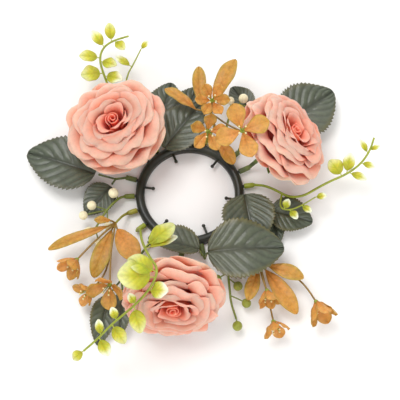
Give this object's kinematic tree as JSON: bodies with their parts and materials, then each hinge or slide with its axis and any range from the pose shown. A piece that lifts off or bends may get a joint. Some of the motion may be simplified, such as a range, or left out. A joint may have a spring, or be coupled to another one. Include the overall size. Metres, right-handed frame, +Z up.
{
  "type": "candle ring",
  "caption": "Tabletop candle ring: moulded ring with inner prongs, silk rose heads that turn, rose leaves, blossom sprays, leafy twigs and berries.",
  "frame": {"origin": "centre of the ring on the table plane, at the bottom face of the ring", "axes": "+Z up out of the table; +Y towards the blossom spray between the two upright roses; -Y towards the rose that leans outwards"},
  "size_m": [0.3509, 0.3471, 0.107],
  "materials": {
    "ring_plastic": "injection-moulded polyethylene, satin",
    "stem_plastic": "moulded polyethylene over wire, satin",
    "calyx_plastic": "moulded polyethylene, satin",
    "petal_pale": "dyed polyester silk, heat-formed",
    "petal_deep": "dyed polyester silk, heat-formed",
    "leaf_fabric": "printed and embossed polyester, light sheen",
    "blossom_plastic": "soft polyethylene, hand-tinted",
    "twig_plastic": "soft polyethylene with pale tips",
    "berry_plastic": "moulded foam and polyethylene, satin"
  },
  "bodies": {
    "frame": {"ring_frame": "ring_plastic", "rose_left_stem": "stem_plastic", "rose_right_stem": "stem_plastic", "rose_front_stem": "stem_plastic", "left_leaf_stem": "stem_plastic", "left_leaf_big": "leaf_fabric", "left_leaf_small": "leaf_fabric", "top_leaf_stem": "stem_plastic", "top_leaf_wide": "leaf_fabric", "top_leaf_upper": "leaf_fabric", "top_leaf_lower": "leaf_fabric", "corner_leaf_stem": "stem_plastic", "corner_leaf_big": "leaf_fabric", "corner_leaf_small": "leaf_fabric", "right_leaf_stem": "stem_plastic", "right_leaf_upper": "leaf_fabric", "right_leaf_outer": "leaf_fabric", "right_leaf_hidden": "leaf_fabric", "front_leaf_stem": "stem_plastic", "front_leaf_big": "leaf_fabric", "front_leaf_folded": "leaf_fabric", "low_leaf_stem": "stem_plastic", "low_leaf_long": "leaf_fabric", "low_leaf_short": "leaf_fabric", "top_blossom_stem": "blossom_plastic", "top_blossom_leaves": "blossom_plastic", "top_blossom_petals": "blossom_plastic", "left_blossom_stem": "blossom_plastic", "left_blossom_leaves": "blossom_plastic", "left_blossom_petals": "blossom_plastic", "right_blossom_stem": "blossom_plastic", "right_blossom_leaves": "blossom_plastic", "right_blossom_petals": "blossom_plastic", "top_twig_stem": "twig_plastic", "top_twig_leaves": "twig_plastic", "right_twig_stem": "twig_plastic", "right_twig_leaves": "twig_plastic", "front_twig_stem": "twig_plastic", "front_twig_leaves": "twig_plastic", "left_berries": "berry_plastic", "right_berries": "berry_plastic", "top_berries": "berry_plastic"},
    "rose_left_head": {"rose_left_calyx": "calyx_plastic", "rose_left_outer_petals": "petal_pale", "rose_left_spread_petals": "petal_pale", "rose_left_cup_petals": "petal_pale", "rose_left_inner_petals": "petal_deep", "rose_left_bud": "petal_deep"},
    "rose_right_head": {"rose_right_calyx": "calyx_plastic", "rose_right_outer_petals": "petal_pale", "rose_right_spread_petals": "petal_pale", "rose_right_cup_petals": "petal_pale", "rose_right_inner_petals": "petal_deep", "rose_right_bud": "petal_deep"},
    "rose_front_head": {"rose_front_calyx": "calyx_plastic", "rose_front_outer_petals": "petal_pale", "rose_front_spread_petals": "petal_pale", "rose_front_cup_petals": "petal_pale", "rose_front_inner_petals": "petal_deep", "rose_front_bud": "petal_deep"}
  },
  "joints": [
    {"name": "rose_left_turn", "type": "hinge", "parent": "frame", "child": "rose_left_head", "pos_m": [-0.072, 0.055, 0.046], "axis": [-0.1386, 0.0121, 0.9903], "continuous": true},
    {"name": "rose_right_turn", "type": "hinge", "parent": "frame", "child": "rose_right_head", "pos_m": [0.092, 0.04, 0.05], "axis": [0.6113, 0.1986, 0.766], "continuous": true},
    {"name": "rose_front_turn", "type": "hinge", "parent": "frame", "child": "rose_front_head", "pos_m": [-0.015, -0.119, 0.048], "axis": [0.0462, -0.8817, 0.4695], "continuous": true}
  ]
}
